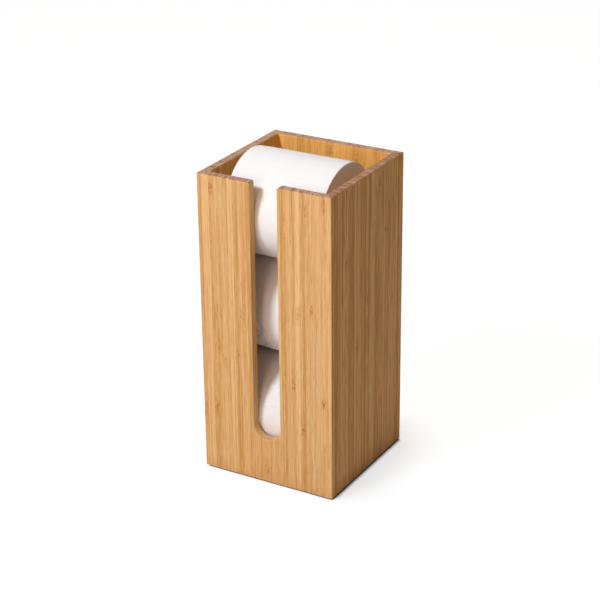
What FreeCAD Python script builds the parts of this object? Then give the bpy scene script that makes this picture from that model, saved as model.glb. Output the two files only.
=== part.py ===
import FreeCAD, Part
import math
import os

from FreeCAD import Vector

# Toilet paper stand: an open-topped box of laminated bamboo boards, mitred at its corners, with a tall
# round-ended slot in its front. Three toilet rolls lie in it, one on top of the other.
# Millimetres. X runs to the right across the front, Y from the front to the back, and Z up.
# The origin is on the ground, under the middle of the stand.

# Toilet rolls
roll_length = 99.5
roll_diameter = 101.1
core_diameter = 43.0
core_wall = 1.0
core_fit = 0.1  # between the core and the first turn of paper
tail_step = 0.4  # the edge of the last sheet, above the turn that it lies on
tail_angles = {"bottom_roll": 25, "middle_roll": -30, "top_roll": -12}  # degrees up from the back
roll_gap = 0.3  # between a roll and what it lies on or leans on

# Room for the rolls in the well
left_room = 13.5
right_room = 9.0
depth_room = 20.9

# Boards
board = 9.0
wall_height = 302.0
edge_radius = 1.0

# Slot in the front board
slot_width = 28.5
slot_bottom = 45.0  # its lowest point, above the board's lower edge
slot_lip_radius = 2.0  # where its sides meet the rim

# Tongue round the bottom board, and the groove that holds it in the walls
tongue_thickness = 4.0
tongue_length = 4.0
groove_end_gap = 0.3
joint_gap = 0.1

# Splines across the mitres
spline_thickness = 2.0
spline_reach = 3.5  # into each of the two boards
spline_cover = 2.2  # wood left between a spline and the outside
spline_stop = 15.0  # short of the rim, and above the bottom board

# Anti-slip pads under the bottom board
pad_diameter = 12.0
pad_thickness = 1.5
pad_edge = 0.3
pad_inset = 17.0  # from the outside of the walls to a pad's centre

# Sizes that follow from these
well_width = left_room + roll_length + right_room
well_depth = roll_diameter + depth_room
stand_width = well_width + 2 * board
stand_depth = well_depth + 2 * board
foot_z = pad_thickness
rim_z = foot_z + wall_height
floor_z = foot_z + board
roll_radius = roll_diameter / 2
roll_left = -well_width / 2 + left_room

up = Vector(0, 0, 1)
right = Vector(1, 0, 0)
origin = Vector(0, 0, 0)
corner_signs = {
    "front_left": (-1, -1),
    "front_right": (1, -1),
    "back_left": (-1, 1),
    "back_right": (1, 1),
}


def upright_block(width, depth, low, high):
    corner = Vector(-width / 2, -depth / 2, low)
    return Part.makeBox(width, depth, high - low, corner)


def slot_cutter():
    # rounded lips at the rim, then straight sides down to a half circle
    half = slot_width / 2
    lip = slot_lip_radius
    lip_middle = lip * (1 - math.sqrt(0.5))
    lowest = foot_z + slot_bottom
    above = rim_z + board

    def point(x, z):
        return Vector(x, -stand_depth / 2 - board, z)

    def side(sign):
        return [
            Part.LineSegment(point(sign * (half + lip), above), point(sign * (half + lip), rim_z)),
            Part.Arc(
                point(sign * (half + lip), rim_z),
                point(sign * (half + lip_middle), rim_z - lip_middle),
                point(sign * half, rim_z - lip),
            ),
            Part.LineSegment(point(sign * half, rim_z - lip), point(sign * half, lowest + half)),
        ]

    round_end = Part.Arc(point(-half, lowest + half), point(0, lowest), point(half, lowest + half))
    top = Part.LineSegment(point(half + lip, above), point(-half - lip, above))
    curves = side(-1) + [round_end] + side(1)[::-1] + [top]
    outline = Part.Wire([curve.toShape() for curve in curves])
    return Part.Face(outline).extrude(Vector(0, 3 * board, 0))


def is_sanded(edge):
    # all but the inside corners, the lower edges against the bottom board and the slot's smooth seams
    centre = edge.CenterOfMass
    half_width = well_width / 2
    half_depth = well_depth / 2
    near = joint_gap
    in_well = abs(centre.x) < half_width + near and abs(centre.y) < half_depth + near
    by_bottom_board = in_well and centre.z < foot_z + near
    inside_corner = abs(abs(centre.x) - half_width) < near and abs(abs(centre.y) - half_depth) < near
    slot_seam = abs(centre.x) < half_width - near and edge.BoundBox.YLength > near
    return not (by_bottom_board or inside_corner or slot_seam)


def walls_in_one():
    # the four walls before they are cut apart, with the slot and the sanded edges
    tube = upright_block(stand_width, stand_depth, foot_z, rim_z)
    tube = tube.cut(upright_block(well_width, well_depth, foot_z - board, rim_z + board))
    tube = tube.cut(slot_cutter())
    return tube.makeFillet(edge_radius, [edge for edge in tube.Edges if is_sanded(edge)])


def mitre_wedge(length, distance, turn):
    # holds one wall of this length, this far from the middle; its slanted sides are the mitres
    outer = Vector(length / 2 + board, -distance - board, 0)
    inner = Vector(length / 2 - 2 * board, -distance + 2 * board, 0)
    corners = [
        Vector(-outer.x, outer.y, 0),
        outer,
        inner,
        Vector(-inner.x, inner.y, 0),
    ]
    wedge = Part.Face(Part.makePolygon(corners + corners[:1])).extrude(up * (rim_z + board))
    wedge.rotate(origin, up, turn)
    return wedge


def groove_cutter():
    # runs round all four walls; the tongue lies on its lower side
    wider = 2 * (tongue_length + groove_end_gap)
    low = floor_z - tongue_thickness
    return upright_block(well_width + wider, well_depth + wider, low, floor_z + joint_gap)


def corner_key(signs, gap):
    # a flat key across the mitre at one corner, larger all round by the gap
    from_corner = spline_reach + math.sqrt(2) * spline_cover + spline_thickness / 2
    inward = from_corner / math.sqrt(2)
    low = floor_z + spline_stop - gap
    high = rim_z - spline_stop + gap
    key = upright_block(spline_thickness + 2 * gap, 2 * (spline_reach + gap), low, high)
    key.rotate(origin, up, math.degrees(math.atan2(signs[1], signs[0])))
    key.translate(Vector(signs[0] * (stand_width / 2 - inward), signs[1] * (stand_depth / 2 - inward), 0))
    return key


def wall_panels():
    whole = walls_in_one().cut(groove_cutter())
    for signs in corner_signs.values():
        whole = whole.cut(corner_key(signs, joint_gap))
    wedges = {
        "front_panel": mitre_wedge(stand_width, stand_depth / 2, 0),
        "right_panel": mitre_wedge(stand_depth, stand_width / 2, 90),
        "back_panel": mitre_wedge(stand_width, stand_depth / 2, 180),
        "left_panel": mitre_wedge(stand_depth, stand_width / 2, 270),
    }
    return {name: whole.common(wedge) for name, wedge in wedges.items()}


def bottom_panel():
    # its lower edges are rebated, which leaves the tongue
    tongue_low = floor_z - tongue_thickness
    plate = upright_block(well_width + 2 * tongue_length, well_depth + 2 * tongue_length, tongue_low, floor_z)
    narrower = 2 * joint_gap
    body = upright_block(well_width - narrower, well_depth - narrower, foot_z, tongue_low)
    return plate.fuse(body).removeSplitter()


def foot_pad(signs):
    centre = Vector(signs[0] * (stand_width / 2 - pad_inset), signs[1] * (stand_depth / 2 - pad_inset), 0)
    pad = Part.makeCylinder(pad_diameter / 2, pad_thickness, centre)
    rim = [edge for edge in pad.Edges if edge.BoundBox.ZMax < pad_thickness / 2]
    return pad.makeChamfer(pad_edge, rim)


def roll_centres():
    # the bottom and top rolls lean on the front board, and the middle one lies midway between front and back
    lean = depth_room / 2 - roll_gap
    rise = math.sqrt((roll_diameter + roll_gap) ** 2 - lean**2)
    lowest = floor_z + roll_gap + roll_radius
    return {
        "bottom_roll": Vector(0, -lean, lowest),
        "middle_roll": Vector(0, 0, lowest + rise),
        "top_roll": Vector(0, -lean, lowest + 2 * rise),
    }


def across(angle):
    # unit vector in a roll's end face, from the back of the stand upwards
    return Vector(0, math.cos(math.radians(angle)), math.sin(math.radians(angle)))


def last_turn(tail_angle):
    # four quarter arcs, each drawn in by a quarter of the step, end under the edge of the last sheet
    quarter_step = tail_step / 4
    centre = Vector(roll_left, 0, 0)
    edges = []
    for quarter in range(4):
        radius = roll_radius - quarter * quarter_step
        angle = tail_angle + 90 * quarter
        start, halfway, end = [centre + across(angle + part) * radius for part in (0, 45, 90)]
        edges.append(Part.Arc(start, halfway, end).toShape())
        centre = centre + across(angle + 90) * quarter_step
    tail = edges[0].firstVertex().Point
    edges.append(Part.LineSegment(edges[-1].lastVertex().Point, tail).toShape())
    return Part.Wire(edges)


def roll_paper(tail_angle):
    wound = Part.Face(last_turn(tail_angle)).extrude(right * roll_length)
    bore_radius = core_diameter / 2 + core_fit
    bore = Part.makeCylinder(bore_radius, roll_length, Vector(roll_left, 0, 0), right)
    return wound.cut(bore)


def roll_core():
    outside = Part.makeCylinder(core_diameter / 2, roll_length, Vector(roll_left, 0, 0), right)
    inside = Part.makeCylinder(core_diameter / 2 - core_wall, roll_length, Vector(roll_left, 0, 0), right)
    return outside.cut(inside)


def rolls():
    pieces = {}
    for name, centre in roll_centres().items():
        pieces[name + "_paper"] = roll_paper(tail_angles[name]).translate(centre)
        pieces[name + "_core"] = roll_core().translate(centre)
    return pieces


def stand():
    pieces = wall_panels()
    pieces["bottom_panel"] = bottom_panel()
    for corner, signs in corner_signs.items():
        pieces["corner_spline_" + corner] = corner_key(signs, 0)
        pieces["foot_pad_" + corner] = foot_pad(signs)
    return pieces


os.makedirs("parts", exist_ok=True)
for name, shape in {**stand(), **rolls()}.items():
    shape.exportStep("parts/" + name + ".step")
    print(name, len(shape.Solids), "solid", round(shape.Volume), "mm3", "valid" if shape.isValid() else "invalid")
for name, centre in roll_centres().items():
    print(name, "centre", [round(value, 3) for value in centre])
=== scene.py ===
import math
import random
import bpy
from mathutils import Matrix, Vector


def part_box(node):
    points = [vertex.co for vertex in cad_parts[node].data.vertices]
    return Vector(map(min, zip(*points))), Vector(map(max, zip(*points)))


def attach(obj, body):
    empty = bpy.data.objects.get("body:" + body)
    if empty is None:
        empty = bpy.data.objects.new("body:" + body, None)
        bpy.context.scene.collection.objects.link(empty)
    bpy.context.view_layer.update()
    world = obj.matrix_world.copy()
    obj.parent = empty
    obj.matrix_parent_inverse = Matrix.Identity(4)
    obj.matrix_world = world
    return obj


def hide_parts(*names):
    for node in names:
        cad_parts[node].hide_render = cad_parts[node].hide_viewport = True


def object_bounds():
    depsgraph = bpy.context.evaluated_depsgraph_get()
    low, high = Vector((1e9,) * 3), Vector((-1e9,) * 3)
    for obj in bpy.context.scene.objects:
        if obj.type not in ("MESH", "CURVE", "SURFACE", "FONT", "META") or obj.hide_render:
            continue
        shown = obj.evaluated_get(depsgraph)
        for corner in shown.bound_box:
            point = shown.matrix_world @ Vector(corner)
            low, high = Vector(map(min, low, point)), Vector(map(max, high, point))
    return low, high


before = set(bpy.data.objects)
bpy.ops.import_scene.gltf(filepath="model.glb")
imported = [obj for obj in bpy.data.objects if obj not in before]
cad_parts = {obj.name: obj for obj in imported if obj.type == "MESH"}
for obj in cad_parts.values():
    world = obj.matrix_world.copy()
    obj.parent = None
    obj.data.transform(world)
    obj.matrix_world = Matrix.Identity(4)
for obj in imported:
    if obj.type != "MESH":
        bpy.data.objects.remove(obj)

from types import SimpleNamespace

import bmesh
import bpy
from mathutils import Matrix, Vector, noise

# Toilet paper stand of laminated bamboo, with three rolls in it.
# Sizes in the dictionaries are millimetres, and meshes are scaled to the frame's metres.
# Angles round a roll start at the back of the stand and go up over the top to the front.

mm = 0.001
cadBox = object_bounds()
print("frame:", len(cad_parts), "nodes")


# One socket of a node tree. Sums written with wires add Math nodes.
class Wire:
    def __init__(self, tree, socket=None):
        self.tree = tree
        self.socket = socket

    def node(self, kind, settings=None, sockets=None, output=0):
        made = self.tree.nodes.new("ShaderNode" + kind)
        for name, value in (settings or {}).items():
            if name == "stops":
                setStops(made.color_ramp, value)
            else:
                setattr(made, name, value)
        for name, value in (sockets or {}).items():
            if isinstance(value, Wire):
                self.tree.links.new(value.socket, made.inputs[name])
            else:
                made.inputs[name].default_value = value
        return Wire(self.tree, made.outputs[output])

    def also(self, output):  # another output of the same node
        return Wire(self.tree, self.socket.node.outputs[output])

    def sum(self, operation, *values):
        return self.node("Math", {"operation": operation}, dict(enumerate(values)))

    def __add__(self, other):
        return self.sum("ADD", self, other)

    def __radd__(self, other):
        return self.sum("ADD", other, self)

    def __sub__(self, other):
        return self.sum("SUBTRACT", self, other)

    def __rsub__(self, other):
        return self.sum("SUBTRACT", other, self)

    def __mul__(self, other):
        return self.sum("MULTIPLY", self, other)

    def __rmul__(self, other):
        return self.sum("MULTIPLY", other, self)

    def __truediv__(self, other):
        return self.sum("DIVIDE", self, other)

    def __rtruediv__(self, other):
        return self.sum("DIVIDE", other, self)

    def __mod__(self, other):
        return self.sum("FLOORED_MODULO", self, other)

    def __rmod__(self, other):
        return self.sum("FLOORED_MODULO", other, self)

    def __gt__(self, other):
        return self.sum("GREATER_THAN", self, other)

    def __lt__(self, other):
        return self.sum("LESS_THAN", self, other)

    def __abs__(self):
        return self.sum("ABSOLUTE", self)

    def larger(self, other):
        return self.sum("MAXIMUM", self, other)

    def sine(self):
        return self.sum("SINE", self)

    def bell(self, width):  # 1 at zero, fading to nothing past the width
        return self.sum("EXPONENT", self * self * (-1 / width**2))

    def ease(self, low, high, start=0, end=1):
        sockets = {"Value": self, "From Min": low, "From Max": high, "To Min": start, "To Max": end}
        return self.node("MapRange", {"interpolation_type": "SMOOTHSTEP"}, sockets)

    def tint(self, under, over, blend="MIX"):  # this wire mixes the second colour over the first
        settings = {"data_type": "RGBA", "blend_type": blend}
        return self.node("Mix", settings, {0: self, 6: under, 7: over}, 2)

    def join(self, x, y, z):
        return self.node("CombineXYZ", {}, {"X": x, "Y": y, "Z": z})

    def xyz(self, scale):
        scaled = self.node("VectorMath", {"operation": "SCALE"}, {0: self, "Scale": scale})
        split = self.node("SeparateXYZ", {}, {0: scaled})
        return split, split.also(1), split.also(2)


def setStops(ramp, stops):
    ramp.interpolation = "CONSTANT"
    ramp.elements.remove(ramp.elements[1])
    ramp.elements[0].position = stops[0][0]
    ramp.elements[0].color = stops[0][1]
    for position, color in stops[1:]:
        ramp.elements.new(position).color = color


def newMaterial(name):
    material = bpy.data.materials.new(name)
    material.use_nodes = True
    return material, Wire(material.node_tree)


def dress(material, color, roughness, height, relief, gloss=0.5):
    # joins the finish to the material's own shader; relief is the bump's strength and depth
    tree = material.node_tree
    shader = tree.nodes["Principled BSDF"]
    shader.inputs["Specular IOR Level"].default_value = gloss
    tree.links.new(color.socket, shader.inputs["Base Color"])
    tree.links.new(roughness.socket, shader.inputs["Roughness"])
    strength, depth = relief
    bump = color.node("Bump", {}, {"Height": height, "Strength": strength, "Distance": depth * mm})
    tree.links.new(bump.socket, shader.inputs["Normal"])


def paint(node, material):
    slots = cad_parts[node].data.materials
    slots.clear()
    slots.append(material)


# Laminated bamboo
bamboo = {
    "pale": (0.86, 0.56, 0.26, 1),
    "deep": (0.59, 0.29, 0.088, 1),
    "rosy": (0.80, 0.445, 0.21, 1),
    "vessel": (0.42, 0.165, 0.042, 1),
    "thread": (0.92, 0.64, 0.34, 1),
    "bounceWarmth": (1.0, 0.86, 0.52, 1),  # painted warm bounce light, multiplied over inside faces and shaded outside faces
    "glue": (0.40, 0.16, 0.042, 1),
    "nodeTan": (0.60, 0.255, 0.066, 1),
    "nodeBrown": (0.36, 0.125, 0.026, 1),
    "endPale": (0.64, 0.40, 0.27, 1),
    "endDeep": (0.30, 0.145, 0.072, 1),
    "endDot": (0.16, 0.070, 0.030, 1),
    "satin": 0.50,
    "gloss": 0.06,
    "relief": (0.35, 0.12),
    "boardWidth": 140,
    "boardMiddle": 65,  # from the stand's middle; a wall's inside lies nearer and its outside farther
    "nodeSpan": 302,
    "nodeHalfHeight": 7,
    "nodeHalfWidth": 3.2,
    "nodeArch": 0.25,
    "nodeSpot": 2.2,  # from one dark spot of a node to the next
    "wander": 0.8,  # how far the grain strays sideways
    "stripShift": 45,  # keeps the grain of one strip unlike that of the next
    "glueHalfWidth": 0.14,
    "endDotPitch": 0.8,
    "slotSawn": 0.05,  # the slot's end shows this much of the sawn look, and the rim all of it
    "footShadeReach": 20,
}

# How much of each detail's colour shows
bambooShare = {
    "vessel": 0.32,
    "thread": 0.32,
    "glue": 0.30,
    "node": 0.65,
    "fleck": 0.6,
    "endDot": 0.35,
    "sanded": 0.35,
}

# Width of the threads, how many times longer they are, noise detail, and a shift that sets each grain apart
grains = {
    "bend": (13, 2.6, 1, 33),
    "fine": (0.8, 14, 2, 0),
    "streak": (1.4, 30, 2, 5),
    "line": (1.0, 220, 1, 7),
    "band": (3.0, 90, 1, 11),
    "cloud": (6, 12, 2, 9),
    "vessel": (0.6, 22, 1, 13),
    "thread": (0.8, 120, 1, 17),
    "fleck": (0.8, 4, 1, 25),
}

# A strip is its left edge, its tone from 0 deep to 1 pale, and the heights of its node marks
frontStrips = [
    (0, 0.40, 62),
    (4, 0.65),
    (12.5, 0.35, 71, 291),
    (18, 0.50, 134),
    (23.5, 0.60, 118),
    (27, 0.45),
    (31.5, 0.65),
    (35.5, 0.80),
    (37.5, 0.35, 130),
    (42, 0.50, 173),
    (48, 0.40),
    (55, 0.55),
    (62, 0.45),
    (67, 0.40, 17),
    (74, 0.60),
    (80, 0.50),
    (84, 0.60),
    (87.5, 0.30, 14, 257),
    (92.5, 0.60),
    (97.5, 0.40, 113),
    (102, 0.85, 184),
    (107.5, 0.40, 67),
    (112.5, 0.50, 287),
    (117.5, 0.60, 192),
    (122.5, 0.65),
    (128, 0.50, 102, 296),
    (135.5, 0.70),
]

rightStrips = [
    (0, 0.35),
    (6, 0.20),
    (12, 0.45),
    (16.5, 1.05),
    (19, 0.25, 137),
    (25, 0.55, 233),
    (31, 0.35),
    (38, 0.15),
    (43.5, 1.05),
    (46, 0.55, 141),
    (52, 0.35),
    (58, 0.20),
    (63, 0.50, 107, 180),
    (70, 0.30),
    (76, 0.60),
    (80.5, 1.25),
    (83, 0.50),
    (89, 0.30, 286),
    (95, 0.45),
    (100.5, 1.00),
    (103, 0.30, 241),
    (110, 0.20),
    (115, 0.45, 163),
    (121, 0.95),
    (123, 0.30),
    (129, 0.10),
    (135, 0.25),
]


def drawnStrips(seed, paleness=0.5):
    draw = random.Random(seed)
    strips = []
    edge = 0
    while edge < bamboo["boardWidth"]:
        strips.append((edge, draw.gauss(paleness, 0.15), draw.uniform(-200, 330), draw.uniform(-200, 330)))
        edge += draw.uniform(5, 9)
    return strips


# Axes are the order of across the strips, through the board and along the strips
plainBoard = {
    "axes": "xyz",
    "endTone": 1.0,
    "contrast": 0.85,
    "coarse": 1.0,
    "bounceWarmthInside": 0,
    "bounceWarmthOutside": 0,
    "footShade": 0.15,
}

frontBoard = {
    **plainBoard,
    "strips": frontStrips,
}

rightBoard = {
    **plainBoard,
    "axes": "yxz",
    "strips": rightStrips,
    "endTone": 0.9,
    "contrast": 2.3,
    "coarse": 1.7,
    "bounceWarmthInside": 0.3,
    "bounceWarmthOutside": 0.3,
    "footShade": 0.45,
}

backBoard = {
    **plainBoard,
    "strips": drawnStrips(3, 0.75),
    "bounceWarmthInside": 1,
    "bounceWarmthOutside": 0.15,
}

leftBoard = {
    **plainBoard,
    "axes": "yxz",
    "strips": drawnStrips(11, 0.6),
    "bounceWarmthInside": 0.8,
    "bounceWarmthOutside": 0.15,
}

bottomBoard = {
    **plainBoard,
    "axes": "yzx",
    "strips": drawnStrips(23),
    "footShade": 0,
}

cornerSpline = {
    **plainBoard,
    "strips": drawnStrips(31),
}


def stripStops(strips):
    # red is the tone, green and blue the heights of the node marks, and alpha the strip's middle
    width = bamboo["boardWidth"]
    span = bamboo["nodeSpan"]
    unused = 2 * span
    ends = [strip[0] for strip in strips[1:]] + [width]
    stops = []
    for strip, end in zip(strips, ends):
        heights = list(strip[2:]) + [unused, unused]
        middle = (strip[0] + end) / 2
        color = (strip[1], heights[0] / span, heights[1] / span, middle / width)
        stops.append((strip[0] / width, color))
    return stops


def boardWires(start, look):
    # the places, directions, strips and grains that a board's finish is worked out from
    place = start.node("TexCoord", {}, {}, "Object")
    sides = dict(zip("xyz", place.xyz(1 / mm)))
    facing = dict(zip("xyz", [abs(part) for part in place.also("Normal").xyz(1)]))
    across, through, along = [sides[axis] for axis in look["axes"]]
    width = bamboo["boardWidth"]
    stops = stripStops(look["strips"])

    def stripAt(offset):
        return start.node("ValToRGB", {"stops": stops}, {"Fac": (across + width / 2 + offset) / width})

    strip = stripAt(0)
    middle = strip.also("Alpha")
    channels = start.node("SeparateColor", {}, {0: strip})
    glueHalf = bamboo["glueHalfWidth"]
    glue = abs(stripAt(-glueHalf).also("Alpha") - stripAt(glueHalf).also("Alpha")) > 0.001

    def grain(kind, sideways):
        size, stretch, detail, shift = grains[kind]
        sockets = {
            "Vector": start.join(sideways, through, along / stretch),
            "W": middle * bamboo["stripShift"] + shift,
            "Scale": 1 / (size * look["coarse"]),
            "Detail": detail,
        }
        return start.node("TexNoise", {"noise_dimensions": "4D"}, sockets)

    bent = across + (grain("bend", across) - 0.5) * bamboo["wander"]
    return SimpleNamespace(
        across=across,
        through=through,
        along=along,
        facing=facing,
        facingEnd=facing[look["axes"][2]],
        middle=middle,
        fromMiddle=across + width / 2 - middle * width,
        tone=channels,
        nodeHeights=(channels.also(1), channels.also(2)),
        glue=glue,
        fine=grain("fine", bent),
        streak=grain("streak", bent),
        line=grain("line", bent),
        band=grain("band", bent).ease(0.36, 0.64),
        cloud=grain("cloud", across),
        vessel=grain("vessel", bent).ease(0.58, 0.72),
        thread=grain("thread", bent).ease(0.60, 0.72),
        fleck=grain("fleck", across).ease(0.56, 0.68),
    )


def nodeMarks(start, board):
    # a node is a soft patch with an arched top, brown spots and pale flecks, stronger in some strips
    arch = board.fromMiddle * board.fromMiddle * bamboo["nodeArch"]

    def patch(height):
        return (board.along - height * bamboo["nodeSpan"] + arch).bell(bamboo["nodeHalfHeight"])

    low, high = board.nodeHeights
    strength = ((board.middle * 53) % 1) * 0.6 + 0.4
    mark = (patch(low) + patch(high)) * board.fromMiddle.bell(bamboo["nodeHalfWidth"]) * strength
    spotted = start.join(board.across, board.through, board.along * 0.45)
    cells = start.node("TexVoronoi", {}, {"Vector": spotted, "Scale": 1 / bamboo["nodeSpot"]})
    return mark, mark * (1 - cells.ease(0.2, 0.5))


def stripWood(board, look, mark, spots):
    # the strips' own tones and grain first, then painted warm bounce light, vessels, threads, glue lines,
    # nodes and painted shade at the foot of a wall
    broad = (board.band - 0.5) * 0.15 + (board.cloud - 0.5) * 0.35 + (board.streak - 0.5) * 0.6
    texture = broad + (board.line - 0.5) * 1.2 + (board.fine - 0.5)
    level = (board.tone - 0.5) * board.along.ease(40, 260, 0.5, 0.9) + 0.5 + texture * look["contrast"]
    wood = level.ease(0.05, 0.95).tint(bamboo["deep"], bamboo["pale"])
    blush = ((board.middle * 97) % 1).ease(0.55, 0.85) * 0.3 + board.cloud.ease(0.5, 0.7) * 0.3
    wood = blush.tint(wood, bamboo["rosy"])
    # painted warm bounce light: each board's inside faces, and the outside faces that lie in shade, are
    # multiplied deeper orange
    halfway = bamboo["boardMiddle"]
    bounceWarmth = abs(board.through).ease(halfway - 1, halfway + 1, look["bounceWarmthInside"], look["bounceWarmthOutside"])
    wood = bounceWarmth.tint(wood, bamboo["bounceWarmth"], "MULTIPLY")
    wood = (board.vessel * bambooShare["vessel"]).tint(wood, bamboo["vessel"])
    wood = (board.thread * bambooShare["thread"]).tint(wood, bamboo["thread"])
    wood = (board.glue * bambooShare["glue"]).tint(wood, bamboo["glue"])
    wood = (mark * bambooShare["node"]).tint(wood, bamboo["nodeTan"])
    wood = spots.tint(wood, bamboo["nodeBrown"])
    wood = (mark * board.fleck * bambooShare["fleck"]).tint(wood, bamboo["thread"])
    foot = board.along.ease(bamboo["footShadeReach"], 1)  # painted shade: the foot of a wall is darker, where less light bounces up from the shadowed floor
    return (foot * look["footShade"]).tint(wood, bamboo["vessel"])


def sawnWood(start, board, look):
    # cut across the strips: ridges from the saw and the dark ends of the fibre bundles
    bundles = start.join(board.across, board.through, board.along * 0.02)
    cells = start.node("TexVoronoi", {}, {"Vector": bundles, "Scale": 1 / bamboo["endDotPitch"]})
    dots = 1 - cells.ease(0.16, 0.34)
    sawMarks = start.join(board.across, board.through * 0.12, board.along * 0.02)
    ridge = start.node("TexNoise", {}, {"Vector": sawMarks, "Scale": 0.8, "Detail": 2})
    level = board.tone * 0.35 + (ridge - 0.5) * 1.7 + (board.streak - 0.5) + look["endTone"] - 0.75
    wood = level.ease(0, 0.85).tint(bamboo["endDeep"], bamboo["endPale"])
    return (dots * bambooShare["endDot"]).tint(wood, bamboo["endDot"]), dots


def bambooBoard(name, look):
    material, start = newMaterial(name)
    board = boardWires(start, look)
    mark, spots = nodeMarks(start, board)
    endWood, dots = sawnWood(start, board, look)

    # sawn ends show at the rim and less in the slot, and the rounded upright edges get a pale painted
    # highlight
    facing = board.facing
    sawn = board.facingEnd.ease(0.45, 0.8) * board.along.ease(150, 290, bamboo["slotSawn"], 1)
    flattest = facing["x"].larger(facing["y"]).larger(facing["z"])
    # painted highlight along the rounded upright edges, left off the horizontal ones
    sanded = flattest.ease(0.97, 0.80) * facing["z"].ease(0.6, 0.3)
    color = sawn.tint(stripWood(board, look, mark, spots), endWood)
    color = (sanded * bambooShare["sanded"]).tint(color, bamboo["thread"])

    roughness = bamboo["satin"] + (board.fine - 0.5) * 0.22 + board.vessel * 0.10 + sawn * 0.16
    height = board.fine * 0.5 - board.vessel * 0.5 - board.glue * 0.35 - spots * 0.6 - sawn * dots * 0.6
    dress(material, color, roughness, height, bamboo["relief"], bamboo["gloss"])
    return material


paint("front_panel", bambooBoard("bambooFront", frontBoard))
paint("right_panel", bambooBoard("bambooRight", rightBoard))
paint("back_panel", bambooBoard("bambooBack", backBoard))
paint("left_panel", bambooBoard("bambooLeft", leftBoard))
paint("bottom_panel", bambooBoard("bambooBottom", bottomBoard))
splineWood = bambooBoard("bambooSpline", cornerSpline)
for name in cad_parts:
    if name.startswith("corner_spline"):
        paint(name, splineWood)
print("bamboo: five boards and the splines")


# Rubber pads under the bottom board
pad = {
    "dark": (0.022, 0.021, 0.020, 1),
    "grey": (0.060, 0.058, 0.055, 1),
    "pebble": 0.35,
    "dustScale": 900,
    "relief": (0.5, 0.08),
}


def padRubber():
    # moulded with a pebbled face, and a little dusty from the floor
    material, start = newMaterial("padRubber")
    place = start.node("TexCoord", {}, {}, "Object")
    pebbles = start.node("TexVoronoi", {}, {"Vector": place, "Scale": 1 / (pad["pebble"] * mm)})
    dust = start.node("TexNoise", {}, {"Vector": place, "Scale": pad["dustScale"], "Detail": 3})
    color = (dust.ease(0.35, 0.75) * 0.8 + pebbles.ease(0.2, 0.7) * 0.2).tint(pad["dark"], pad["grey"])
    dress(material, color, 0.72 + dust * 0.2, 1 - pebbles, pad["relief"])
    return material


rubber = padRubber()
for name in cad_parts:
    if name.startswith("foot_pad"):
        paint(name, rubber)
print("pads: four")


# Toilet rolls
wound = {
    "step": 0.4,  # from one turn of the last sheet to the turn under it
    "softEdge": 0.6,
    "softRows": 4,
    "drawnIn": 0.25,  # the ends are slacker than the middle
    "drawnInOver": 5,
    "waviness": 0.35,
    "waveLength": 26,
    "waveRound": 1.5,
    "endRings": 30,
    "endReach": 0.97,  # share of an end that the rings of uneven layers fill
    "endInset": 0.02,
    "endScatter": 0.22,
    "coreFit": 0.1,
    "around": 1.25,  # degrees from one point to the next
    "along": 1.4,
    "sharpFrom": 55,  # degrees
}

looseSheet = {
    "span": 16,  # degrees of the last sheet that have come away
    "thickness": 0.3,
    "thinnest": 0.02,
    "lift": 1.1,
    "tuckedIn": 0.05,
    "ripple": 0.25,
    "rippleLength": 14,
    "teeth": 0.35,
    "toothPitch": 3.1,
    "tornStray": 0.5,
    "tornLength": 9,
    "fromEnd": 0.3,
    "rows": 12,
}

# A dent is its place along the roll, its angle, its depth and its size. A crease runs from one place and
# angle to another. The mesh is finer in the stretches named fine.
rolls = {
    "bottom_roll": {
        "tail": 25,  # the angle where the last sheet ends
        "dents": [(-20, 95, 0.5, 14), (22, 200, 0.4, 18), (-38, 300, 0.5, 12)],
        "ribs": 150,  # rows of embossing in one turn
        "fineAround": (95, 215),
    },
    "middle_roll": {
        "tail": -30,
        "dents": [(-36, 240, 1.5, 9), (-13, 244, 1.2, 5), (4, 178, 3.4, 24), (20, 60, 0.5, 18)],
        "creases": [
            (-30, 183, -21.5, 206),
            (-27, 180, -18, 208),
            (-23.5, 181, -14.5, 211),
            (-31, 194, -24, 216),
            (-28, 203, -20.5, 222),
            (-30, 211, -25, 228),
            (-19, 190, -11.5, 207),
            (-22, 208, -16, 224),
        ],
        "fineAlong": (-34, -8),
        "fineAround": (178, 252),
    },
    "top_roll": {
        "tail": -12,
        "dents": [(30, 20, 0.6, 16), (-30, 330, 0.5, 14)],
    },
}

crease = {"depth": 1.9, "halfWidth": 1.0, "stray": 2.5, "strayLength": 7, "fineStep": 0.38}
rib = {"height": 0.18, "slant": 0.12}  # the slant is in radians of a row for each mm along the roll


def rollSizes(name):
    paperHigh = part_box(name + "_paper")[1]
    coreLow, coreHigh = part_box(name + "_core")
    centre = (coreLow + coreHigh) / 2 / mm
    return {
        "centre": centre,
        "half": (coreHigh.x - coreLow.x) / 2 / mm,
        "radius": (paperHigh.z - centre.z * mm) / mm,
        "tubeRadius": (coreHigh.z - coreLow.z) / 2 / mm,
    }


for name, look in rolls.items():
    look.update(rollSizes(name))  # as the frame has them


def gradedSteps(low, high, step, fine=None):
    # places from low to high, closer together between the two ends of the fine stretch
    stretches = [(low, high, step)]
    if fine:
        stretches = [(low, fine[0], step), (fine[0], fine[1], crease["fineStep"]), (fine[1], high, step)]
    places = []
    for begin, end, pace in stretches:
        count = max(1, round((end - begin) / pace))
        places += [begin + (end - begin) * index / count for index in range(count)]
    return places + [high]


def arcLength(look, angle):
    # round the outside of a roll by this angle, the shorter way
    return math.radians((angle + 180) % 360 - 180) * look["radius"]


def fade(away, size):
    return math.exp(-((away / size) ** 2))


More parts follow.
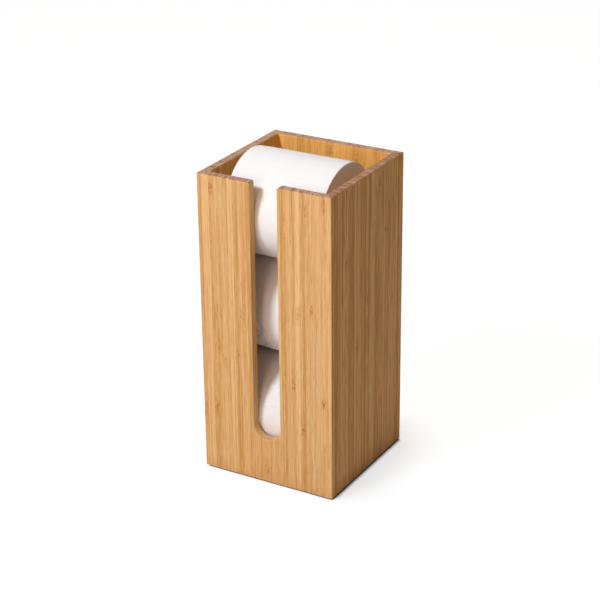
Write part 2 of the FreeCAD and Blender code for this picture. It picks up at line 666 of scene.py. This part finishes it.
def creaseDepth(look, x, angle):
    # the furrows are deepest halfway along and run out at both ends
    depth = 0
    for startX, startAngle, endX, endAngle in look.get("creases", []):
        run = Vector((endX - startX, arcLength(look, endAngle - startAngle)))
        spot = Vector((x - startX, arcLength(look, angle - startAngle)))
        spot.x += crease["stray"] * noise.noise(Vector((spot.y / crease["strayLength"], startAngle, startX)))
        share = min(1, max(0, spot.dot(run) / run.length_squared))
        away = (spot - run * share).length
        depth += crease["depth"] * math.sin(math.pi * share) * fade(away, crease["halfWidth"])
    return depth


def paperRadius(look, x, angle):
    turned = math.radians(angle)
    turn = ((angle - look["tail"]) % 360) / 360
    out = look["radius"] - wound["step"] * turn
    out -= looseSheet["thickness"] * max(0, 1 - turn * 360 / looseSheet["span"])
    for dentX, dentAngle, depth, size in look["dents"]:
        out -= depth * fade(math.hypot(x - dentX, arcLength(look, angle - dentAngle)), size)
    out -= creaseDepth(look, x, angle)
    fromEnd = look["half"] - abs(x)
    out -= wound["drawnIn"] * math.exp(-fromEnd / wound["drawnInOver"])
    if "ribs" in look:
        out -= rib["height"] * (0.5 - 0.5 * math.sin(look["ribs"] * turned + rib["slant"] * x))
    wave = wound["waveRound"]
    spot = Vector((
        x / wound["waveLength"],
        wave * math.cos(turned),
        wave * math.sin(turned) + look["tail"],
    ))
    return out - wound["waviness"] * (0.5 + 0.5 * noise.noise(spot))


def rollProfile(look, seed):
    # once round the section: place along the roll, share of the way from the core to the outside, and inset
    draw = random.Random(seed)
    half = look["half"]
    soft = wound["softEdge"]
    rings = wound["endRings"]

    def endFace(side):
        face = []
        for ring in range(rings):
            inward = draw.uniform(0, wound["endScatter"]) + wound["endInset"]
            face.append((side * (half - inward), ring / rings * wound["endReach"], 0))
        return face

    def softCorner(side):
        corner = []
        for row in range(wound["softRows"]):
            turned = math.pi / 2 * row / wound["softRows"]
            corner.append((side * (half - soft + soft * math.cos(turned)), 1, soft * (1 - math.sin(turned))))
        return corner

    places = gradedSteps(-half + soft, half - soft, wound["along"], look.get("fineAlong"))
    outside = [(place, 1, 0) for place in places]
    left = endFace(-1) + softCorner(-1)
    right = endFace(1) + softCorner(1)
    return left + outside + right[::-1]


def addSkin(bm, rows, endless=True):
    # joins rows of points, each a loop, into one closed skin: the last row to the first, or with two caps
    made = [[bm.verts.new(point) for point in row] for row in rows]
    nextRows = made[1:] + made[:1] if endless else made[1:]
    for row, nextRow in zip(made, nextRows):
        for index, corner in enumerate(row):
            after = (index + 1) % len(row)
            bm.faces.new((corner, row[after], nextRow[after], nextRow[index]))
    if not endless:
        bm.faces.new(made[0])
        bm.faces.new(made[-1][::-1])


def rollPoint(look, x, radius, angle):
    turned = math.radians(angle)
    fromCentre = Vector((x, radius * math.cos(turned), radius * math.sin(turned)))
    return (look["centre"] + fromCentre) * mm


def addLooseSheet(bm, look):
    # the end of the last sheet, curled a little away from the turn under it, with a torn edge
    tail = look["tail"]
    reach = look["half"] - looseSheet["fromEnd"]
    rows = []
    for x in gradedSteps(-reach, reach, wound["along"] / 2):
        tooth = abs((x / looseSheet["toothPitch"]) % 1 - 0.5) * 2
        stray = looseSheet["tornStray"] * noise.noise(Vector((x / looseSheet["tornLength"], tail, 0)))
        torn = looseSheet["teeth"] * (tooth - 0.5) + stray
        under = []
        over = []
        for row in range(looseSheet["rows"] + 1):
            share = row / looseSheet["rows"]
            fromTail = looseSheet["span"] * share
            angle = tail + fromTail + math.degrees(torn / look["radius"]) * (1 - share)
            wave = noise.noise(Vector((x / looseSheet["rippleLength"], share * 2, tail)))
            lift = looseSheet["lift"] + looseSheet["ripple"] * wave
            turnBelow = paperRadius(look, x, tail + max(0.01, fromTail))
            inner = turnBelow + lift * (1 - share) ** 2 - looseSheet["tuckedIn"]
            outer = inner + looseSheet["thickness"] * (1 - share) + looseSheet["thinnest"]
            under.append(rollPoint(look, x, inner, angle))
            over.append(rollPoint(look, x, outer, angle))
        rows.append(under + over[::-1])
    addSkin(bm, rows, endless=False)


def newPiece(name, bm, material):
    bmesh.ops.recalc_face_normals(bm, faces=bm.faces)
    mesh = bpy.data.meshes.new(name)
    bm.to_mesh(mesh)
    bm.free()
    mesh.shade_smooth()
    mesh.materials.append(material)
    piece = bpy.data.objects.new(name, mesh)
    bpy.context.scene.collection.objects.link(piece)
    return piece


def paperPiece(name, look, seed, material):
    angles = gradedSteps(0, 360, wound["around"], look.get("fineAround"))[:-1]
    bore = look["tubeRadius"] + wound["coreFit"]
    rows = []
    for x, share, inset in rollProfile(look, seed):
        row = []
        for angle in angles:
            outside = paperRadius(look, x, angle) - inset
            edge = outside - wound["softEdge"] if share < 1 else outside
            row.append(rollPoint(look, x, bore + (edge - bore) * share, angle))
        rows.append(row)
    bm = bmesh.new()
    addSkin(bm, rows)
    addLooseSheet(bm, look)
    piece = newPiece(name + "_tissue", bm, material)
    piece.data.set_sharp_from_angle(angle=math.radians(wound["sharpFrom"]))
    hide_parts(name + "_paper")
    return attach(piece, name)


# Tissue
tissue = {
    "white": (0.93, 0.93, 0.94, 1),
    "dim": (0.81, 0.805, 0.81, 1),
    # painted shade in the perforation cuts and the rib grooves
    "grooveShade": (0.62, 0.61, 0.61, 1),
    "endWarmth": (0.94, 0.82, 0.71, 1),  # the cut ends: a little creamier than the sides, and painted warm bounce light from the bamboo
    "gloss": 0.25,
    "relief": (0.5, 0.12),
    "mottleScale": 160,
    "fibreScale": 2600,
    "sheetLength": 122,
    "perforationPitch": 3.0,
    "perforationCut": 2.1,
    "perforationShift": 2,
    "perforationHalfWidth": 0.16,
    "layer": 0.46,
    "crimpFromEnd": 6.0,
    "crimpHalfWidth": 0.7,
    "crimpTeeth": 180,
    "dotPitch": 1.5,
    "dotHeight": 0.35,
}


def tissuePaper(name, look):
    radius = look["radius"]
    material, start = newMaterial(name + "Tissue")
    place = start.node("TexCoord", {}, {}, "Object")
    x, y, z = place.xyz(1 / mm)
    alongRoll = x - look["centre"].x
    back = y - look["centre"].y
    up = z - look["centre"].z
    angle = start.sum("ARCTAN2", up, back)
    out = start.sum("SQRT", back * back + up * up)
    ends = abs(place.also("Normal").xyz(1)[0]).ease(0.55, 0.85)
    side = 1 - ends

    mottle = start.node("TexNoise", {}, {"Vector": place, "Scale": tissue["mottleScale"], "Detail": 4})
    fibre = start.node("TexNoise", {}, {"Vector": place, "Scale": tissue["fibreScale"], "Detail": 2})

    # embossed dots, which on a ribbed roll break up its rows, and a crimped line near each end
    repeats = look.get("ribs", 2 * round(math.pi * radius / tissue["dotPitch"])) / 2
    dots = (angle * repeats).sine() * (alongRoll * (repeats / radius)).sine()
    fromCrimp = abs(look["half"] - abs(alongRoll) - tissue["crimpFromEnd"])
    crimp = fromCrimp.bell(tissue["crimpHalfWidth"]) * (angle * tissue["crimpTeeth"]).sine().ease(-0.2, 0.5)

    # rows of cuts between the sheets
    alongRow = (alongRoll + tissue["perforationShift"]) % tissue["perforationPitch"]
    cuts = alongRow < tissue["perforationCut"]
    rows = []
    for sheet in (1, 2):
        turned = math.radians(look["tail"]) + sheet * tissue["sheetLength"] / radius
        fromRow = ((angle - turned) * 0.5).sine() * (2 * radius)
        rows.append(fromRow.bell(tissue["perforationHalfWidth"]))
    perforation = (rows[0] + rows[1]) * cuts * side
    # painted shade in the perforation cuts, and on a ribbed roll in its grooves, strongest on the upper half
    # of the roll
    paintedGrooveShade = perforation * 0.30
    if "ribs" in look:
        grooves = (angle * look["ribs"] + alongRoll * rib["slant"]).sine().ease(0.4, -0.9)
        paintedGrooveShade = paintedGrooveShade + grooves * side * up.ease(-25, 20, 0.05, 1) * (dots * 0.10 + 0.18)

    # the wound layers show on the ends
    layers = (out + mottle * 0.8) / tissue["layer"] - angle / (2 * math.pi)
    layerLine = (layers * (2 * math.pi)).sine()
    shade = mottle.ease(0.3, 0.75) * 0.16 + fibre.ease(0.35, 0.8) * 0.10
    shade = shade + ends * (layerLine.ease(-0.2, 1) * 0.45 + 0.10)
    color = shade.tint(tissue["white"], tissue["dim"])
    # the ends are tinted warm: creamier paper, and painted warm bounce light from the bamboo walls
    color = (ends * 0.7).tint(color, tissue["endWarmth"])
    color = paintedGrooveShade.tint(color, tissue["grooveShade"])
    pressed = dots * tissue["dotHeight"] * 0.5 + crimp * 0.5
    height = side * pressed - perforation + ends * layerLine * 0.6 + fibre * 0.35
    dress(material, color, 0.88 + fibre * 0.1, height, tissue["relief"], tissue["gloss"])
    return material


for seed, (name, look) in enumerate(rolls.items()):
    paperPiece(name, look, seed, tissuePaper(name, look))
    print("paper:", name)


# Cardboard cores, each wound from one strip on a slant
core = {
    "wall": 1.0,
    "lap": 0.18,
    "lapRise": 14,  # the strip climbs its own edge in one part of a turn in this many
    "lead": 62,  # how far along the tube one turn of the strip goes
    "oval": 0.1,
    "ovalTurn": 40,  # degrees
    "around": 96,
    "step": 1.6,
    "sharpFrom": 40,  # degrees
    "brown": (0.40, 0.30, 0.205, 1),
    "grey": (0.56, 0.475, 0.38, 1),
    "fleck": (0.19, 0.13, 0.085, 1),
    "fleckShare": 0.55,
    "pulpScale": 500,
    "fibreScale": 1900,
    "relief": (0.4, 0.1),
}


def coreBoard():
    material, start = newMaterial("coreBoard")
    place = start.node("TexCoord", {}, {}, "Object")
    pulp = start.node("TexNoise", {}, {"Vector": place, "Scale": core["pulpScale"], "Detail": 4})
    fibres = start.node("TexNoise", {}, {"Vector": place, "Scale": core["fibreScale"], "Detail": 2})
    color = pulp.ease(0.3, 0.7).tint(core["brown"], core["grey"])
    color = (fibres.ease(0.62, 0.72) * core["fleckShare"]).tint(color, core["fleck"])
    dress(material, color, 0.82 + pulp * 0.12, pulp * 0.5 + fibres * 0.5, core["relief"])
    return material


def corePiece(name, look, material):
    half = look["half"]
    outside = look["tubeRadius"]
    inside = outside - core["wall"]
    angles = [360 * index / core["around"] for index in range(core["around"])]

    def lapped(x, angle):  # steps up where the strip laps its own edge
        turn = (x / core["lead"] + angle / 360) % 1
        return core["lap"] * min(1, turn * core["lapRise"]) * (1 - turn)

    def row(x, tube, way):
        ring = []
        for angle in angles:
            squeeze = core["oval"] * (0.5 + 0.5 * math.cos(math.radians(2 * angle + core["ovalTurn"])))
            radius = tube - squeeze - way * (core["lap"] - lapped(x, angle))
            ring.append(rollPoint(look, x, radius, angle))
        return ring

    places = gradedSteps(-half, half, core["step"])
    rows = [row(x, outside, 1) for x in places] + [row(x, inside, -1) for x in places[::-1]]
    bm = bmesh.new()
    addSkin(bm, rows)
    piece = newPiece(name + "_tube", bm, material)
    piece.data.set_sharp_from_angle(angle=math.radians(core["sharpFrom"]))
    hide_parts(name + "_core")
    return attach(piece, name)


cardboard = coreBoard()
for name, look in rolls.items():
    corePiece(name, look, cardboard)
print("cores:", len(rolls))


# Floor, light and camera, in metres and degrees
studio = {
    "floorSize": 30,
    "floorSeen": (0.9, 0.9, 0.9, 1),
    "floorBounce": (0.66, 0.66, 0.66, 1),
    "floorGlow": 0.90,  # share of the floor that the camera sees as plain white
    "glowStrength": 1.06,
    "ambient": 0.16,
    "ambientColor": (1, 0.68, 0.42, 1),
    "lampAway": 2.2,
}

# How the stand darkens the white floor with painted shadow: a thin contact shadow under its edges and a soft
# shadow away from the key
contact = {"reach": 0.012, "dark": 0.50, "clear": 0.64, "color": (0.02, 0.008, 0.003, 1)}
shadow = {"reach": 0.06, "dark": 0.4, "clear": 0.98, "level": 0.76, "turn": -22, "rise": 43.5}

# Turn is to the right from straight in front; a white card that faces a lamp of level 1 shows as white
lamps = {
    "keyLamp": {"turn": -21, "rise": 42, "level": 0.81, "size": 0.45, "color": (0.84, 0.93, 1)},
    "fillLamp": {"turn": 2, "rise": 12, "level": 0.21, "size": 0.7, "color": (1, 0.67, 0.52)},
    "sideLamp": {"turn": 100, "rise": 46, "level": 0.055, "size": 0.9, "color": (0.9, 0.95, 1)},
    "backLamp": {"turn": -150, "rise": 50, "level": 0.28, "size": 0.9, "color": (1, 0.94, 0.90)},
}


def towardsLamp(look):
    turned = math.radians(look["turn"])
    raised = math.radians(look["rise"])
    level = Vector((math.sin(turned), -math.cos(turned), 0))
    return level * math.cos(raised) + Vector((0, 0, math.sin(raised)))


def seenDirectly(start):
    # 1 for rays that show the background, also in a reflection or through glass
    light = start.node("LightPath", {}, {}, "Is Camera Ray")
    return (light + light.also("Is Glossy Ray") + light.also("Is Transmission Ray")).ease(0, 1)


def studioFloor():
    bm = bmesh.new()
    bmesh.ops.create_grid(bm, x_segments=2, y_segments=2, size=studio["floorSize"] / 2)
    material, start = newMaterial("paleFloor")
    tree = material.node_tree
    seen = seenDirectly(start)
    diffuse = start.node("BsdfDiffuse", {}, {"Color": seen.tint(studio["floorBounce"], studio["floorSeen"])})
    keyWay = start.join(*towardsLamp(shadow))

    def openTo(look, darkest):  # how much of the key's side is clear of the stand within this reach
        clear = start.node("AmbientOcclusion", {}, {"Distance": look["reach"], "Normal": keyWay}, "AO")
        return clear.ease(look["dark"], look["clear"], darkest, 1)

    lit = openTo(contact, 0) * openTo(shadow, shadow["level"])
    white = lit.tint(contact["color"], (1, 1, 1, 1))
    glow = start.node("Emission", {}, {"Color": white, "Strength": studio["glowStrength"]})
    surface = start.node("MixShader", {}, {0: seen * studio["floorGlow"], 1: diffuse, 2: glow})
    tree.links.new(surface.socket, tree.nodes["Material Output"].inputs["Surface"])
    newPiece("floor", bm, material)


def studioWorld():
    world = bpy.data.worlds.new("studio")
    world.use_nodes = True
    bpy.context.scene.world = world
    tree = world.node_tree
    start = Wire(tree)
    dim = start.node("Background", {}, {"Color": studio["ambientColor"], "Strength": studio["ambient"]})
    white = start.node("Background", {}, {"Color": (1, 1, 1, 1), "Strength": 1})
    surface = start.node("MixShader", {}, {0: seenDirectly(start), 1: dim, 2: white})
    tree.links.new(surface.socket, tree.nodes["World Output"].inputs["Surface"])


def softLamp(name, look):
    towards = towardsLamp(look)
    away = studio["lampAway"]
    lamp = bpy.data.lights.new(name, "AREA")
    lamp.size = look["size"]
    lamp.energy = look["level"] * (math.pi * away) ** 2
    lamp.color = look["color"]
    holder = bpy.data.objects.new(name, lamp)
    holder.visible_camera = False
    holder.location = Vector((0, 0, cadBox[1].z)) + towards * away
    holder.rotation_euler = towards.to_track_quat("Z", "Y").to_euler()
    bpy.context.scene.collection.objects.link(holder)


studioFloor()
studioWorld()
for name, look in lamps.items():
    softLamp(name, look)

camera = {
    "place": (0.7755, -1.3381, 0.8520),
    "lens": 106.72,
    "sensor": 36,
    "heading": 30.196,  # to the left of straight ahead
    "down": 23.961,
    "tilt": -0.606,
}


def studioCamera():
    data = bpy.data.cameras.new("camera")
    data.lens = camera["lens"]
    data.sensor_width = camera["sensor"]
    holder = bpy.data.objects.new("camera", data)
    heading = Matrix.Rotation(math.radians(camera["heading"]), 4, "Z")
    down = Matrix.Rotation(math.radians(90 - camera["down"]), 4, "X")
    tilt = Matrix.Rotation(math.radians(camera["tilt"]), 4, "Z")
    holder.matrix_world = Matrix.Translation(camera["place"]) @ heading @ down @ tilt
    bpy.context.scene.collection.objects.link(holder)
    bpy.context.scene.camera = holder


studioCamera()
bpy.context.scene.view_settings.view_transform = "Standard"
print("studio: floor, lamps and camera")
